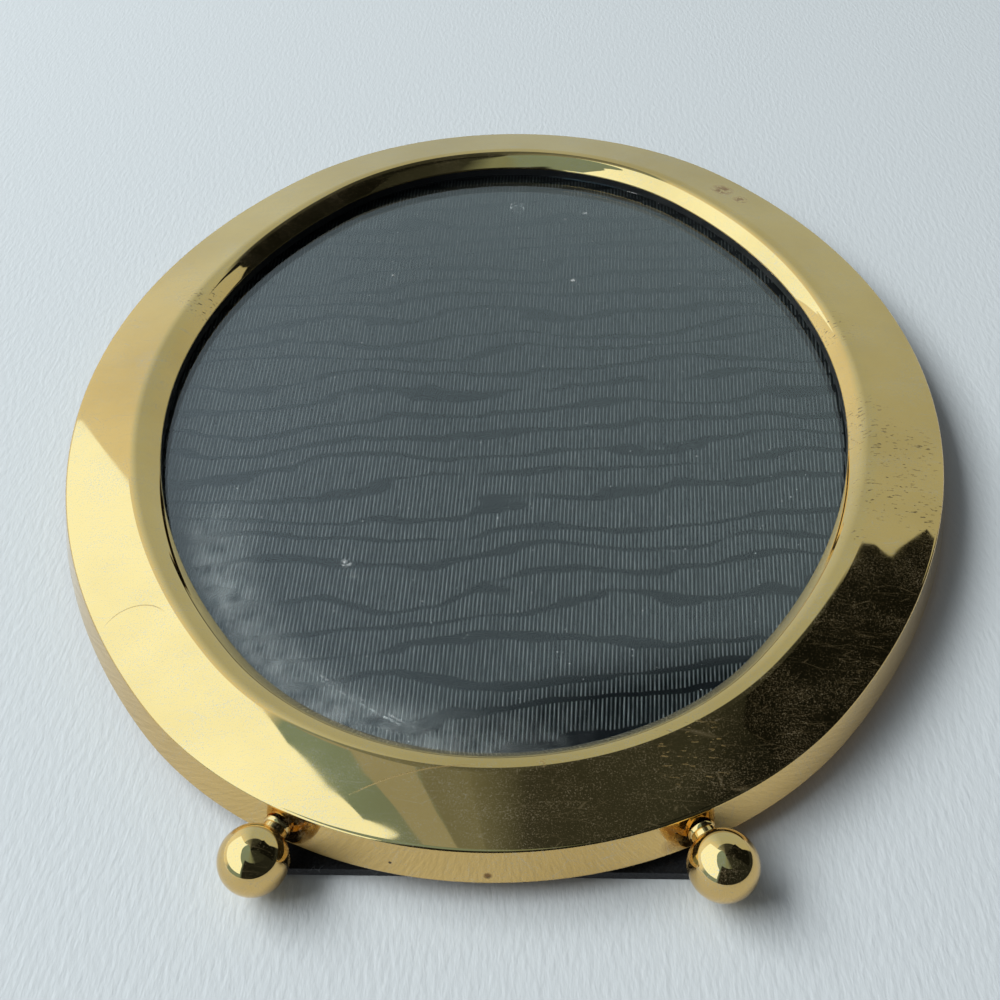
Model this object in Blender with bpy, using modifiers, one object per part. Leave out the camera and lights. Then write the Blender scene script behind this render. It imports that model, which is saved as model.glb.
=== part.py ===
# Oval brass picture frame with glass, an easel back and two ball feet.
# It lies on its back: +Z is the face, +Y the top of the oval, the strut rests on z = 0.
# Lengths are in metres. The outline is an oval of two end arcs and two side arcs.

from math import atan2, cos, hypot, pi, radians, sin, sqrt, tan

import bmesh
import bpy
from mathutils import Matrix, Vector

# Oval outline at the rim's outer face edge
HALF_WIDTH = 0.0777
HALF_LENGTH = 0.0989
END_RADIUS = 0.0652
END_STEPS = 28
SIDE_STEPS = 20

# Rim section: widths run inwards from the outline, heights up from the wall's foot
WALL_HEIGHT = 0.00545
WALL_FLARE = 0.0014
FACE_WIDTH = 0.0129
CREST_RISE = 0.00183
SLOPE_WIDTH = 0.0028
SLOPE_DROP = 0.00285
LIP_THICKNESS = 0.00183
METAL = 0.0014
RIB_THICKNESS = 0.0016
FOOT_ROUND = 0.0003
EDGE_ROUND = 0.0005
SHOULDER_ROUND = 0.0042
LIP_ROUND = 0.0004

# Sheets in the rebate, from the glass down to the velvet
LIP_OVERLAP = 0.0015
INSERT_CLEARANCE = 0.0003
SHEET_GAP = 0.00015
GLASS_THICKNESS = 0.0020
LINING_THICKNESS = 0.00025
BOARD_THICKNESS = 0.0012
VELVET_THICKNESS = 0.0003

# Strut, a velvet covered board that lies flat behind the back
STRUT_THICKNESS = 0.0016
STRUT_TOP_HALF = 0.0155
STRUT_FOOT_HALF = 0.0295
STRUT_FOOT_Y = -0.0973
STRUT_CORNER = 0.0025

# Easel hinge
HINGE_Y = 0.0200
BARREL_RADIUS = 0.00075
BARREL_WIDTH = 0.0240
KNUCKLE_WIDTH = 0.0080
PIN_RADIUS = 0.00035
PIN_CLEARANCE = 0.00005
PIN_END = 0.0003
HINGE_GAP = 0.00015
BARREL_CLEARANCE = 0.0003
LEAF_LENGTH = 0.0160
LEAF_THICKNESS = 0.0004
LEAF_CORNER = 0.0020
POCKET_FLOOR = 0.00065

# Rivets of both leaves
RIVET_RADIUS = 0.0009
RIVET_HEAD_RADIUS = 0.0018
RIVET_HEAD = 0.0003
RIVET_TAIL = 0.0002
RIVET_GAP = 0.00005
RIVET_CLEARANCE = 0.0001
RIVET_X = 0.0075
RIVET_Y = 0.0105

# Ball feet on the rim's wall
BALL_RADIUS = 0.00467
BALL_REACH = 0.0063
BALL_ANGLE = radians(24.9)
BALL_HEIGHT = 0.0023
NECK_RADIUS = 0.00175
NECK_GAP = 0.00015
FOOT_SCREW_RADIUS = 0.0010
FOOT_SCREW_DEPTH = 0.0035
FOOT_HEAD_RADIUS = 0.0019
FOOT_HEAD = 0.0013
WASHER_RADIUS = 0.0020
WASHER_THICKNESS = 0.0004
PAD_RADIUS = 0.0021
PAD_INSET = 0.0032
THREAD_CLEARANCE = 0.0001

# Turn buttons on bosses in the hollow of the rim
BUTTON_ANGLE = radians(52)
BOSS_RADIUS = 0.0032
BOSS_INSET = 0.0067
BUTTON_THICKNESS = 0.0006
BUTTON_HALF_WIDTH = 0.0034
BUTTON_TIP_RADIUS = 0.0024
BUTTON_LENGTH = 0.0105
BUTTON_GAP = 0.0001
TURN_SCREW_RADIUS = 0.0010
TURN_SCREW_DEPTH = 0.0040
TURN_HEAD_RADIUS = 0.0022
TURN_HEAD = 0.0006
SLOT_WIDTH = 0.0005
SLOT_DEPTH = 0.0003

ROUND_STEPS = 24
FILLET_STEPS = 4
EMBED = 0.0005
REACH = 0.0020

# Side arcs that meet the end arcs smoothly
END_CENTRE = HALF_LENGTH - END_RADIUS
SIDE_CENTRE = (END_CENTRE ** 2 - (HALF_WIDTH - END_RADIUS) ** 2) / (2 * (HALF_WIDTH - END_RADIUS))
SIDE_RADIUS = HALF_WIDTH + SIDE_CENTRE
JOIN_ANGLE = atan2(END_CENTRE, SIDE_CENTRE)

# Insets of the sight opening, the inserts and the rebate's wall
SIGHT_INSET = FACE_WIDTH + SLOPE_WIDTH
INSERT_INSET = SIGHT_INSET - LIP_OVERLAP
REBATE_INSET = INSERT_INSET - INSERT_CLEARANCE

# Heights above the table, stacked from the strut up to the lip
VELVET_Z = STRUT_THICKNESS + SHEET_GAP
BOARD_Z = VELVET_Z + VELVET_THICKNESS + SHEET_GAP
BOARD_TOP = BOARD_Z + BOARD_THICKNESS
LINING_Z = BOARD_TOP + SHEET_GAP
GLASS_Z = LINING_Z + LINING_THICKNESS + SHEET_GAP
LIP_Z = GLASS_Z + GLASS_THICKNESS + SHEET_GAP
LIP_TOP = LIP_Z + LIP_THICKNESS
CREST_Z = LIP_TOP + SLOPE_DROP
EDGE_Z = CREST_Z - CREST_RISE
WALL_Z = EDGE_Z - WALL_HEIGHT

HINGE_Z = VELVET_Z - BUTTON_GAP - BARREL_RADIUS
BALL_Z = WALL_Z + BALL_HEIGHT
BUTTON_Z = VELVET_Z - SHEET_GAP - BUTTON_THICKNESS
BOSS_Z = BUTTON_Z + BUTTON_THICKNESS + BUTTON_GAP

COLLECTION = "oval_picture_frame"


def clear_scene():
    for item in list(bpy.data.objects):
        bpy.data.objects.remove(item, do_unlink=True)
    for name in (COLLECTION, "cutters"):
        old = bpy.data.collections.get(name)
        if old:
            bpy.data.collections.remove(old)
        bpy.context.scene.collection.children.link(bpy.data.collections.new(name))


def material(name, colour, metallic, roughness):
    made = bpy.data.materials.new(name)
    made.use_nodes = True
    shader = made.node_tree.nodes["Principled BSDF"]
    shader.inputs["Base Color"].default_value = (*colour, 1)
    shader.inputs["Metallic"].default_value = metallic
    shader.inputs["Roughness"].default_value = roughness
    return made


def add_object(name, mesh, finish=None, collection=COLLECTION, smooth=True):
    made = bpy.data.objects.new(name, mesh)
    bpy.data.collections[collection].objects.link(made)
    if finish:
        mesh.materials.append(finish)
    if smooth:
        mesh.shade_smooth()
        mesh.set_sharp_from_angle(angle=radians(30))
    return made


def cutter(name, bm, matrix):
    # A hidden solid that is cut out of, or joined to, a part
    mesh = bpy.data.meshes.new(name)
    bm.to_mesh(mesh)
    bm.free()
    made = add_object(name, mesh, collection="cutters", smooth=False)
    made.matrix_world = matrix
    made.hide_render = True
    made.display_type = "WIRE"
    return made


def cylinder(radius, low, high):
    bm = bmesh.new()
    middle = Matrix.Translation((0, 0, (low + high) / 2))
    bmesh.ops.create_cone(bm, cap_ends=True, segments=ROUND_STEPS, radius1=radius, radius2=radius,
                          depth=high - low, matrix=middle)
    return bm


def box(size, centre):
    bm = bmesh.new()
    bmesh.ops.create_cube(bm, size=1, matrix=Matrix.Translation(centre) @ Matrix.Diagonal((*size, 1)))
    return bm


def boolean(part, tool, operation="DIFFERENCE"):
    step = part.modifiers.new(tool.name, "BOOLEAN")
    step.operation = operation
    step.solver = "EXACT"
    step.object = tool


def fillet(corners):
    # Rounds each corner of a closed outline: corners are (x, y, radius)
    points = []
    for i, (x, y, radius) in enumerate(corners):
        here = Vector((x, y))
        back = (Vector(corners[i - 1][:2]) - here).normalized()
        ahead = (Vector(corners[(i + 1) % len(corners)][:2]) - here).normalized()
        if radius == 0:
            points.append((x, y))
            continue
        half = back.angle(ahead) / 2
        centre = here + (back + ahead).normalized() * radius / sin(half)
        start = here + back * radius / tan(half) - centre
        turn = start.angle_signed(here + ahead * radius / tan(half) - centre)
        for step in range(FILLET_STEPS + 1):
            point = centre + Matrix.Rotation(-turn * step / FILLET_STEPS, 2) @ start
            points.append((point.x, point.y))
    return points


def arcs():
    # The oval's four arcs: centre, radius, first angle, swept angle, steps
    end_sweep = pi - 2 * JOIN_ANGLE
    return (
        ((-SIDE_CENTRE, 0), SIDE_RADIUS, -JOIN_ANGLE, 2 * JOIN_ANGLE, SIDE_STEPS),
        ((0, END_CENTRE), END_RADIUS, JOIN_ANGLE, end_sweep, END_STEPS),
        ((SIDE_CENTRE, 0), SIDE_RADIUS, pi - JOIN_ANGLE, 2 * JOIN_ANGLE, SIDE_STEPS),
        ((0, -END_CENTRE), END_RADIUS, pi + JOIN_ANGLE, end_sweep, END_STEPS),
    )


def oval(inset):
    points = []
    for centre, radius, first, sweep, steps in arcs():
        for step in range(steps):
            angle = first + sweep * step / steps
            reach = radius - inset
            points.append((centre[0] + reach * cos(angle), centre[1] + reach * sin(angle)))
    return points


def sweep_oval(profile):
    # Carries a closed section, given as (inset, z), round the four arcs
    bm = bmesh.new()
    centre, radius, first, _, _ = arcs()[0]
    ring = []
    for inset, z in profile:
        reach = radius - inset
        ring.append(bm.verts.new((centre[0] + reach * cos(first), centre[1] + reach * sin(first), z)))
    geometry = list(ring)
    for i, vert in enumerate(ring):
        geometry.append(bm.edges.new((vert, ring[(i + 1) % len(ring)])))
    for centre, _, _, sweep, steps in arcs():
        spun = bmesh.ops.spin(bm, geom=geometry, cent=(*centre, 0), axis=(0, 0, 1), angle=sweep, steps=steps)
        geometry = spun["geom_last"]
    bmesh.ops.remove_doubles(bm, verts=bm.verts, dist=0.000002)
    bmesh.ops.recalc_face_normals(bm, faces=bm.faces)
    return bm


def plate(name, outlines, low, thickness, finish):
    # A flat piece from closed outlines, the first one outside and the others as holes
    curve = bpy.data.curves.new(name, "CURVE")
    curve.dimensions = "2D"
    curve.fill_mode = "BOTH"
    curve.extrude = thickness / 2
    for outline in outlines:
        spline = curve.splines.new("POLY")
        spline.points.add(len(outline) - 1)
        for point, (x, y) in zip(spline.points, outline):
            point.co = (x, y, 0, 1)
        spline.use_cyclic_u = True
    flat = bpy.data.objects.new(name + "_outline", curve)
    bpy.data.collections["cutters"].objects.link(flat)
    bpy.context.view_layer.update()
    mesh = bpy.data.meshes.new_from_object(flat.evaluated_get(bpy.context.evaluated_depsgraph_get()))
    bpy.data.objects.remove(flat)
    bm = bmesh.new()
    bm.from_mesh(mesh)
    bmesh.ops.remove_doubles(bm, verts=bm.verts, dist=0.000001)
    bmesh.ops.recalc_face_normals(bm, faces=bm.faces)
    bm.to_mesh(mesh)
    bm.free()
    mesh.name = name
    made = add_object(name, mesh, finish)
    made.location.z = low + thickness / 2
    return made


def turned(name, profile, finish, steps=ROUND_STEPS):
    # A round piece about its local Z: the profile runs down the outer side
    mesh = bpy.data.meshes.new(name)
    edges = [(i, i + 1) for i in range(len(profile) - 1)]
    mesh.from_pydata([(x, 0, z) for x, z in profile], edges, [])
    made = add_object(name, mesh, finish, smooth=False)
    screw = made.modifiers.new("turn", "SCREW")
    screw.steps = steps
    screw.render_steps = steps
    screw.use_merge_vertices = True
    screw.merge_threshold = 0.00001
    screw.use_smooth_shade = True
    return made


def circle(x, y, radius):
    turn = 2 * pi / ROUND_STEPS
    return [(x + radius * cos(turn * i), y + radius * sin(turn * i)) for i in range(ROUND_STEPS)]


def rim_section():
    face_slope = CREST_RISE / FACE_WIDTH
    under_face = METAL * hypot(1, face_slope)
    inside_wall = METAL * hypot(1, WALL_FLARE / WALL_HEIGHT)
    rib_inset = REBATE_INSET - RIB_THICKNESS
    lean = WALL_FLARE / WALL_HEIGHT
    corner = (WALL_HEIGHT - under_face + face_slope * (inside_wall - WALL_FLARE)) / (1 - face_slope * lean)
    return fillet((
        (-WALL_FLARE, WALL_Z, FOOT_ROUND),
        (0, EDGE_Z, EDGE_ROUND),
        (FACE_WIDTH, CREST_Z, SHOULDER_ROUND),
        (SIGHT_INSET, LIP_TOP, LIP_ROUND),
        (SIGHT_INSET, LIP_Z, 0),
        (REBATE_INSET, LIP_Z, 0),
        (REBATE_INSET, BOARD_Z, 0),
        (rib_inset, BOARD_Z, 0),
        (rib_inset, EDGE_Z + face_slope * rib_inset - under_face, 0),
        (inside_wall - WALL_FLARE + lean * corner, WALL_Z + corner, 0),
        (inside_wall - WALL_FLARE, WALL_Z, 0),
    ))


def foot_matrix(side):
    # Local Z points out of the rim's wall through the ball's centre
    angle = side * BALL_ANGLE
    reach = END_RADIUS + BALL_REACH
    centre = Vector((reach * sin(angle), -END_CENTRE - reach * cos(angle), BALL_Z))
    out = Vector((sin(angle), -cos(angle), 0))
    up = Vector((0, 0, 1))
    turn = Matrix((out.cross(up), -up, out)).transposed() @ Matrix.Rotation(pi, 3, "Z")
    return Matrix.Translation(centre) @ turn.to_4x4()


def button_places():
    places = {}
    for end, y_sign in (("upper", 1), ("lower", -1)):
        for side, x_sign in (("left", -1), ("right", 1)):
            reach = END_RADIUS - BOSS_INSET
            x = x_sign * reach * sin(BUTTON_ANGLE)
            y = y_sign * (END_CENTRE + reach * cos(BUTTON_ANGLE))
            inward = atan2(-y_sign * cos(BUTTON_ANGLE), -x_sign * sin(BUTTON_ANGLE))
            places[end + "_" + side] = (x, y, inward)
    return places


def build_rim(finish):
    bm = sweep_oval(rim_section())
    mesh = bpy.data.meshes.new("rim")
    bm.to_mesh(mesh)
    bm.free()
    rim = add_object("rim", mesh, finish)
    ceiling = EDGE_Z + CREST_RISE * BOSS_INSET / FACE_WIDTH - METAL
    for name, (x, y, _) in button_places().items():
        here = Matrix.Translation((x, y, 0))
        boolean(rim, cutter("boss_" + name, cylinder(BOSS_RADIUS, BOSS_Z, ceiling + EMBED), here), "UNION")
    for side, name in ((-1, "left"), (1, "right")):
        inner = -(BALL_REACH + PAD_INSET)
        pad = cylinder(PAD_RADIUS, inner, -BALL_REACH + METAL / 2 - WALL_FLARE)
        boolean(rim, cutter("pad_" + name, pad, foot_matrix(side)), "UNION")
    for name, (x, y, _) in button_places().items():
        here = Matrix.Translation((x, y, 0))
        hole = cylinder(TURN_SCREW_RADIUS + THREAD_CLEARANCE, BOSS_Z - REACH, BOSS_Z + TURN_SCREW_DEPTH)
        boolean(rim, cutter("boss_hole_" + name, hole, here))
    for side, name in ((-1, "left"), (1, "right")):
        hole = cylinder(FOOT_SCREW_RADIUS + THREAD_CLEARANCE, -(BALL_REACH + PAD_INSET + REACH), 0)
        boolean(rim, cutter("wall_hole_" + name, hole, foot_matrix(side)))
    return rim


def build_sheets(finishes):
    outline = oval(INSERT_INSET)
    plate("glass", [outline], GLASS_Z, GLASS_THICKNESS, finishes["glass"])
    plate("moire_lining", [outline], LINING_Z, LINING_THICKNESS, finishes["moire"])
    board = plate("back_board", [outline], BOARD_Z, BOARD_THICKNESS, finishes["board"])
    holes = []
    for side, name in ((-1, "left"), (1, "right")):
        x = side * RIVET_X
        y = HINGE_Y + RIVET_Y
        holes.append(circle(x, y, RIVET_RADIUS + RIVET_CLEARANCE))
        hole = cylinder(RIVET_RADIUS + RIVET_CLEARANCE, BOARD_Z - REACH, BOARD_TOP + REACH)
        sink = cylinder(RIVET_HEAD_RADIUS + RIVET_CLEARANCE, BOARD_TOP - RIVET_TAIL - 2 * RIVET_GAP,
                        BOARD_TOP + REACH)
        here = Matrix.Translation((x, y, 0))
        boolean(board, cutter("board_hole_" + name, hole, here))
        boolean(board, cutter("board_sink_" + name, sink, here))
    plate("back_velvet", [outline] + holes, VELVET_Z, VELVET_THICKNESS, finishes["velvet"])


def build_strut(finish):
    top = HINGE_Y - BARREL_RADIUS - BARREL_CLEARANCE
    outline = fillet((
        (-STRUT_FOOT_HALF, STRUT_FOOT_Y, STRUT_CORNER),
        (STRUT_FOOT_HALF, STRUT_FOOT_Y, STRUT_CORNER),
        (STRUT_TOP_HALF, top, STRUT_CORNER),
        (-STRUT_TOP_HALF, top, STRUT_CORNER),
    ))
    strut = plate("strut", [outline], 0, STRUT_THICKNESS, finish)
    width = BARREL_WIDTH + 2 * BARREL_CLEARANCE
    length = LEAF_LENGTH + 2 * BARREL_CLEARANCE
    depth = POCKET_FLOOR + leaf_floor()
    pocket = box((width, length, 2 * depth), (0, HINGE_Y - length / 2 + BARREL_CLEARANCE, 0))
    boolean(strut, cutter("strut_pocket", pocket, Matrix.Identity(4)))
    for side, name in ((-1, "left"), (1, "right")):
        here = Matrix.Translation((side * RIVET_X, HINGE_Y - RIVET_Y, 0))
        hole = cylinder(RIVET_RADIUS + RIVET_CLEARANCE, -REACH, STRUT_THICKNESS + REACH)
        sink = cylinder(RIVET_HEAD_RADIUS + RIVET_CLEARANCE, STRUT_THICKNESS - RIVET_TAIL - 2 * RIVET_GAP,
                        STRUT_THICKNESS + REACH)
        boolean(strut, cutter("strut_hole_" + name, hole, here))
        boolean(strut, cutter("strut_sink_" + name, sink, here))
    return strut


def leaf_floor():
    # The strut leaf's outer face, high enough for the rivet heads to clear the table
    return RIVET_HEAD + 2 * RIVET_GAP


def leaf(name, direction, low, knuckles, gaps, finish):
    # A flat leaf with round knuckles about the hinge axis: direction is +1 up the back, -1 down the strut
    half = BARREL_WIDTH / 2
    far = HINGE_Y + direction * LEAF_LENGTH
    corners = [(-half, HINGE_Y, 0), (half, HINGE_Y, 0), (half, far, LEAF_CORNER), (-half, far, LEAF_CORNER)]
    if direction < 0:
        corners.reverse()
    made = plate(name, [fillet(corners)], low, LEAF_THICKNESS, finish)
    across = Matrix.Translation((0, HINGE_Y, HINGE_Z)) @ Matrix.Rotation(pi / 2, 4, "Y")
    for i, (start, stop) in enumerate(gaps):
        reach = BARREL_RADIUS + HINGE_GAP
        notch = box((stop - start, 2 * reach, 2 * REACH), ((start + stop) / 2, HINGE_Y, HINGE_Z))
        boolean(made, cutter(f"{name}_notch_{i}", notch, Matrix.Identity(4)))
    for i, (start, stop) in enumerate(knuckles):
        tube = cutter(f"{name}_knuckle_{i}", cylinder(BARREL_RADIUS, start, stop), across)
        boolean(made, tube, "UNION")
    bore = cylinder(PIN_RADIUS + PIN_CLEARANCE, -BARREL_WIDTH, BARREL_WIDTH)
    boolean(made, cutter(name + "_bore", bore, across))
    return made


def rivet(name, x, y, head_z, tail_z, finish):
    # Head below head_z, tail above tail_z, both a little clear of what they hold
    made = turned(name, [
        (0, tail_z + RIVET_GAP + RIVET_TAIL),
        (RIVET_HEAD_RADIUS, tail_z + RIVET_GAP + RIVET_TAIL),
        (RIVET_HEAD_RADIUS, tail_z + RIVET_GAP),
        (RIVET_RADIUS, tail_z + RIVET_GAP),
        (RIVET_RADIUS, head_z - RIVET_GAP),
        (RIVET_HEAD_RADIUS, head_z - RIVET_GAP),
        (RIVET_HEAD_RADIUS - RIVET_HEAD / 2, head_z - RIVET_GAP - RIVET_HEAD),
        (0, head_z - RIVET_GAP - RIVET_HEAD),
    ], finish)
    made.location = (x, y, 0)
    return made


def build_hinge(finishes):
    steel = finishes["steel"]
    half = BARREL_WIDTH / 2
    middle = KNUCKLE_WIDTH / 2
    gap = middle + HINGE_GAP
    end = half + HINGE_GAP
    board_leaf_z = HINGE_Z + BARREL_RADIUS - LEAF_THICKNESS
    leaf("board_leaf", 1, board_leaf_z, ((-half, -gap), (gap, half)), ((-gap, gap),), steel)
    clear = ((-end, -middle), (middle, end))
    strut_leaf = leaf("strut_leaf", -1, leaf_floor(), ((-middle, middle),), clear, steel)
    across = Matrix.Translation((0, HINGE_Y, HINGE_Z)) @ Matrix.Rotation(pi / 2, 4, "Y")
    long = half + PIN_END
    pin = turned("hinge_pin", [(0, long), (PIN_RADIUS, long), (PIN_RADIUS, -long), (0, -long)], steel, 16)
    pin.matrix_world = across
    for side, name in ((-1, "left"), (1, "right")):
        for leaf_part in (strut_leaf, bpy.data.objects["board_leaf"]):
            direction = 1 if leaf_part.name == "board_leaf" else -1
            here = Matrix.Translation((side * RIVET_X, HINGE_Y + direction * RIVET_Y, 0))
            hole = cylinder(RIVET_RADIUS + RIVET_CLEARANCE, -REACH, BOARD_TOP)
            boolean(leaf_part, cutter(f"{leaf_part.name}_hole_{name}", hole, here))
        sunk = RIVET_TAIL + 2 * RIVET_GAP
        x = side * RIVET_X
        rivet("board_rivet_" + name, x, HINGE_Y + RIVET_Y, board_leaf_z, BOARD_TOP - sunk, steel)
        rivet("strut_rivet_" + name, x, HINGE_Y - RIVET_Y, leaf_floor(), STRUT_THICKNESS - sunk, steel)
    return strut_leaf


def build_feet(finishes):
    # Distances along the foot's axis, measured from the ball's centre
    lean = atan2(WALL_FLARE, WALL_HEIGHT)
    wall = WALL_FLARE * (1 - BALL_HEIGHT / WALL_HEIGHT) - BALL_REACH
    pad = -(BALL_REACH + PAD_INSET)
    bore_top = wall + FOOT_SCREW_DEPTH + THREAD_CLEARANCE
    bore = FOOT_SCREW_RADIUS + THREAD_CLEARANCE
    neck_end = -BALL_REACH
    first = pi / 2
    last = -atan2(sqrt(BALL_RADIUS ** 2 - NECK_RADIUS ** 2), NECK_RADIUS)
    ball = []
    for step in range(ROUND_STEPS // 2 + 1):
        angle = first + (last - first) * step / (ROUND_STEPS // 2)
        ball.append((BALL_RADIUS * cos(angle) if step else 0, BALL_RADIUS * sin(angle)))
    ball += [(NECK_RADIUS, neck_end), (bore, neck_end), (bore, bore_top), (0, bore_top)]
    washer_top = pad - NECK_GAP
    washer_low = washer_top - WASHER_THICKNESS
    head_top = washer_low - NECK_GAP
    washer = [(WASHER_RADIUS, washer_top), (WASHER_RADIUS, washer_low), (bore, washer_low),
              (bore, washer_top), (WASHER_RADIUS, washer_top)]
    tip = bore_top - THREAD_CLEARANCE
    screw = [(0, tip), (FOOT_SCREW_RADIUS, tip), (FOOT_SCREW_RADIUS, head_top), (FOOT_HEAD_RADIUS, head_top),
             (FOOT_HEAD_RADIUS, head_top - FOOT_HEAD), (0, head_top - FOOT_HEAD)]
    for side, name in ((-1, "left"), (1, "right")):
        axis = bpy.data.objects.new("foot_axis_" + name, None)
        bpy.data.collections[COLLECTION].objects.link(axis)
        axis.matrix_world = foot_matrix(side)
        made = turned("foot_ball_" + name, ball, finishes["brass"])
        made.parent = axis
        turned("foot_washer_" + name, washer, finishes["steel"]).parent = axis
        bolt = turned("foot_screw_" + name, screw, finishes["steel"])
        bolt.parent = axis
        # The neck's end follows the lean of the wall
        size = 4 * NECK_RADIUS
        tilt = Matrix.Translation((0, 0, wall + NECK_GAP)) @ Matrix.Rotation(-lean, 4, "X")
        block = box((size, size, size), (0, 0, -size / 2))
        boolean(made, cutter("neck_cut_" + name, block, foot_matrix(side) @ tilt))
        slot_z = head_top - FOOT_HEAD
        slot = box((4 * FOOT_HEAD_RADIUS, SLOT_WIDTH, 2 * SLOT_DEPTH), (0, 0, slot_z))
        boolean(bolt, cutter("foot_slot_" + name, slot, foot_matrix(side)))


def button_outline():
    # A drop shape about the pivot: a wide round end and a narrow tip along +X
    spread = (BUTTON_HALF_WIDTH - BUTTON_TIP_RADIUS) / BUTTON_LENGTH
    tangent = pi / 2 - atan2(spread, sqrt(1 - spread ** 2))
    points = []
    for step in range(ROUND_STEPS // 2 + 1):
        angle = -tangent + 2 * tangent * step / (ROUND_STEPS // 2)
        points.append((BUTTON_LENGTH + BUTTON_TIP_RADIUS * cos(angle), BUTTON_TIP_RADIUS * sin(angle)))
    for step in range(ROUND_STEPS // 2 + 1):
        angle = tangent + (2 * pi - 2 * tangent) * step / (ROUND_STEPS // 2)
        points.append((BUTTON_HALF_WIDTH * cos(angle), BUTTON_HALF_WIDTH * sin(angle)))
    return points


def build_buttons(finishes):
    head_z = BUTTON_Z - BUTTON_GAP
    tip = BOSS_Z + TURN_SCREW_DEPTH - THREAD_CLEARANCE
    screw = [(0, tip), (TURN_SCREW_RADIUS, tip), (TURN_SCREW_RADIUS, head_z), (TURN_HEAD_RADIUS, head_z),
             (TURN_HEAD_RADIUS - TURN_HEAD / 2, head_z - TURN_HEAD), (0, head_z - TURN_HEAD)]
    hole = circle(0, 0, TURN_SCREW_RADIUS + THREAD_CLEARANCE)
    for name, (x, y, inward) in button_places().items():
        outlines = [button_outline(), hole]
        button = plate("turn_button_" + name, outlines, BUTTON_Z, BUTTON_THICKNESS, finishes["brass"])
        button.location.x = x
        button.location.y = y
        button.rotation_euler.z = inward
        bolt = turned("turn_screw_" + name, screw, finishes["brass"])
        bolt.location = (x, y, 0)
        slot = box((4 * TURN_HEAD_RADIUS, SLOT_WIDTH, 2 * SLOT_DEPTH), (0, 0, head_z - TURN_HEAD))
        boolean(bolt, cutter("turn_slot_" + name, slot, Matrix.Translation((x, y, 0))))


def hang_strut(strut, strut_leaf):
    # The strut, its leaf and its rivets turn about the hinge's axis
    axis = bpy.data.objects.new("strut_axis", None)
    bpy.data.collections[COLLECTION].objects.link(axis)
    axis.location = (0, HINGE_Y, HINGE_Z)
    bpy.context.view_layer.update()
    names = ("strut_rivet_left", "strut_rivet_right")
    for part in (strut, strut_leaf, *(bpy.data.objects[name] for name in names)):
        part.parent = axis
        part.matrix_parent_inverse = axis.matrix_world.inverted()


def main():
    clear_scene()
    finishes = {
        "brass": material("polished_brass", (0.78, 0.57, 0.22), 1.0, 0.12),
        "glass": material("clear_glass", (0.90, 0.93, 0.92), 0.0, 0.03),
        "moire": material("black_moire_paper", (0.03, 0.032, 0.036), 0.0, 0.55),
        "board": material("grey_board", (0.36, 0.34, 0.31), 0.0, 0.90),
        "velvet": material("black_velvet", (0.010, 0.010, 0.011), 0.0, 0.95),
        "steel": material("plated_steel", (0.42, 0.41, 0.39), 1.0, 0.35),
    }
    build_rim(finishes["brass"])
    build_sheets(finishes)
    strut = build_strut(finishes["velvet"])
    strut_leaf = build_hinge(finishes)
    build_feet(finishes)
    build_buttons(finishes)
    hang_strut(strut, strut_leaf)


main()
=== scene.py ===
# Oval brass picture frame lying on its back on a pale table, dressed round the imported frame.
# Sizes below are in millimetres in the frame's own coordinates: X right, Y to the top of the oval, Z up.

from functools import partial
from math import atan2, cos, hypot, pi, radians, sin, sqrt, tan

import bmesh
import bpy
from mathutils import Matrix, Vector


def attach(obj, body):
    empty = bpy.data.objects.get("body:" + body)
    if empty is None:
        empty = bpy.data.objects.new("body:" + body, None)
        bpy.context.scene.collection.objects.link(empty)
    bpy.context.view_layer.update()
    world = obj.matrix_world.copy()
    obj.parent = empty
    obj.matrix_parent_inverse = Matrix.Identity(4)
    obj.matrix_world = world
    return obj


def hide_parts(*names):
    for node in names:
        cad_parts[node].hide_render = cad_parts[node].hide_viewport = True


mm = 0.001

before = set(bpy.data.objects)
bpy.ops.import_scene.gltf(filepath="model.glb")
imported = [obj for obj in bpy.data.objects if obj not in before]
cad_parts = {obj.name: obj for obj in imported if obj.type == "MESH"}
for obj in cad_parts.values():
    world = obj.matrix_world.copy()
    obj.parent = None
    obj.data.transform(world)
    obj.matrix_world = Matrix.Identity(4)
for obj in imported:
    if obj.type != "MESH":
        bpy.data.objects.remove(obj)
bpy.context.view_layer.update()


def fromHex(code, strength=1):
    # An sRGB hex colour as linear red, green, blue, alpha
    channels = [int(code[i:i + 2], 16) / 255 for i in (1, 3, 5)]
    linear = [c / 12.92 if c <= 0.04045 else ((c + 0.055) / 1.055) ** 2.4 for c in channels]
    return (*(c * strength for c in linear), 1)


def feed(socket, value):
    # Sets an input to a value or hex colour, or links it to a socket or a node's first output in use
    if isinstance(value, str):
        value = fromHex(value)
    if isinstance(value, bpy.types.Node):
        value = next(output for output in value.outputs if output.enabled)
    if isinstance(value, bpy.types.NodeSocket):
        socket.id_data.links.new(value, socket)
    else:
        socket.default_value = value


def addNode(tree, kind, sockets=(), operation=None, **settings):
    # A shader node with its settings, and its inputs fed by name or in order; a Mix node mixes colours
    node = tree.nodes.new("ShaderNode" + kind)
    if kind == "Mix":
        node.data_type = "RGBA"
    if operation:
        node.operation = operation
    for name, value in settings.items():
        setattr(node, name, value)
    for name, value in sockets.items() if isinstance(sockets, dict) else enumerate(sockets):
        feed(node.inputs[name], value)
    return node


def startMaterial(name):
    # A new material, what adds its nodes, its Principled shader and its surface position in millimetres
    made = bpy.data.materials.new(name)
    made.use_nodes = True
    add = partial(addNode, made.node_tree)
    place = add("VectorMath", {0: add("TexCoord").outputs["Object"], "Scale": 1 / mm}, "SCALE")
    return made, add, made.node_tree.nodes["Principled BSDF"], place


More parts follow.
